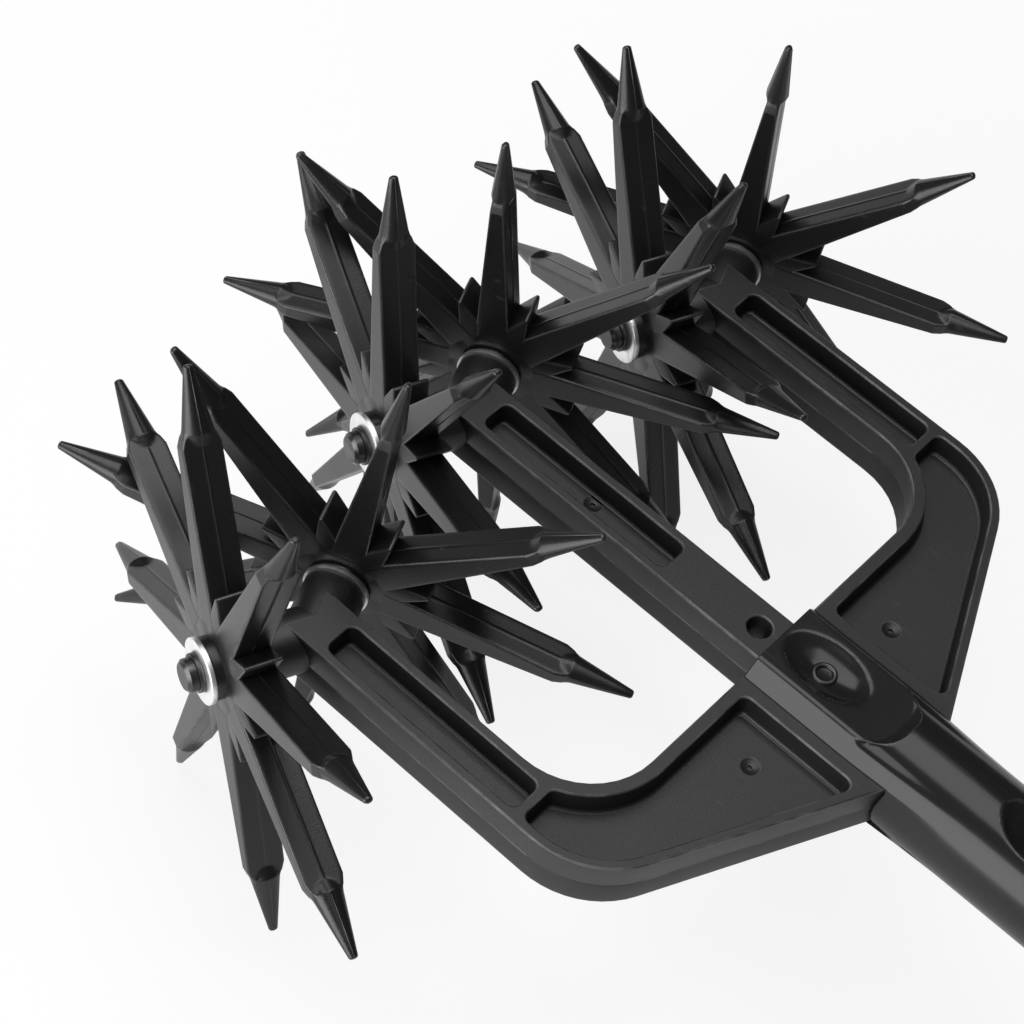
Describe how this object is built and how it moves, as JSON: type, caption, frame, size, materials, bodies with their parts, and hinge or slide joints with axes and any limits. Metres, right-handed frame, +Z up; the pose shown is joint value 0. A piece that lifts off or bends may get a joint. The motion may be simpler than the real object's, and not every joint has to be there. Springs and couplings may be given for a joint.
{
  "type": "rotary hand cultivator",
  "caption": "Long-handled rotary cultivator: star wheels with pointed tines turn on bent axles at the end of a three-armed fork under a straight tube.",
  "frame": {"origin": "on the ground below the middle of the tool's length, on its centre line", "axes": "+Y forward along the handle toward the wheels, +Z up out of the plane of the fork, +X to the right across the wheels"},
  "size_m": [0.2409, 1.3744, 0.1448],
  "materials": {
    "fork_plastic": "satin",
    "wheel_plastic": "satin",
    "painted_steel": "gloss",
    "grip_plastic": "matte",
    "rivet_steel": "satin",
    "clip_steel": "satin",
    "zinc_washer": "satin",
    "axle_steel": "satin"
  },
  "bodies": {
    "frame": {"fork": "fork_plastic", "handle_tube": "painted_steel", "front_rivet": "rivet_steel", "rear_rivet": "rivet_steel", "hand_grip": "grip_plastic", "axle_1": "axle_steel", "axle_2": "axle_steel", "axle_3": "axle_steel", "inner_washer_1": "zinc_washer", "inner_washer_2": "zinc_washer", "inner_washer_3": "zinc_washer", "inner_washer_4": "zinc_washer", "inner_washer_5": "zinc_washer", "inner_washer_6": "zinc_washer", "outer_washer_1": "zinc_washer", "outer_washer_2": "zinc_washer", "outer_washer_3": "zinc_washer", "outer_washer_4": "zinc_washer", "outer_washer_5": "zinc_washer", "outer_washer_6": "zinc_washer", "axle_clip_1": "clip_steel", "axle_clip_2": "clip_steel", "axle_clip_3": "clip_steel", "axle_clip_4": "clip_steel", "axle_clip_5": "clip_steel", "axle_clip_6": "clip_steel"},
    "wheel_1": {"tine_wheel_1": "wheel_plastic"},
    "wheel_2": {"tine_wheel_2": "wheel_plastic"},
    "wheel_3": {"tine_wheel_3": "wheel_plastic"},
    "wheel_4": {"tine_wheel_4": "wheel_plastic"},
    "wheel_5": {"tine_wheel_5": "wheel_plastic"},
    "wheel_6": {"tine_wheel_6": "wheel_plastic"}
  },
  "joints": [
    {"name": "wheel_1_spin", "type": "hinge", "parent": "frame", "child": "wheel_1", "pos_m": [-0.09272, 0.60151, 0.0725], "axis": [0.9272, -0.3746, 0], "continuous": true},
    {"name": "wheel_2_spin", "type": "hinge", "parent": "frame", "child": "wheel_2", "pos_m": [-0.05563, 0.60151, 0.0725], "axis": [0.9272, 0.3746, 0], "continuous": true},
    {"name": "wheel_3_spin", "type": "hinge", "parent": "frame", "child": "wheel_3", "pos_m": [-0.01854, 0.62011, 0.0725], "axis": [0.9272, -0.3746, 0], "continuous": true},
    {"name": "wheel_4_spin", "type": "hinge", "parent": "frame", "child": "wheel_4", "pos_m": [0.01854, 0.62011, 0.0725], "axis": [0.9272, 0.3746, 0], "continuous": true},
    {"name": "wheel_5_spin", "type": "hinge", "parent": "frame", "child": "wheel_5", "pos_m": [0.05563, 0.60151, 0.0725], "axis": [0.9272, -0.3746, 0], "continuous": true},
    {"name": "wheel_6_spin", "type": "hinge", "parent": "frame", "child": "wheel_6", "pos_m": [0.09272, 0.60151, 0.0725], "axis": [0.9272, 0.3746, 0], "continuous": true}
  ],
  "couplings": [
    {"joint": "wheel_2_spin", "follows": "wheel_1_spin", "ratio": 1},
    {"joint": "wheel_3_spin", "follows": "wheel_1_spin", "ratio": 1},
    {"joint": "wheel_4_spin", "follows": "wheel_1_spin", "ratio": 1},
    {"joint": "wheel_5_spin", "follows": "wheel_1_spin", "ratio": 1},
    {"joint": "wheel_6_spin", "follows": "wheel_1_spin", "ratio": 1}
  ]
}
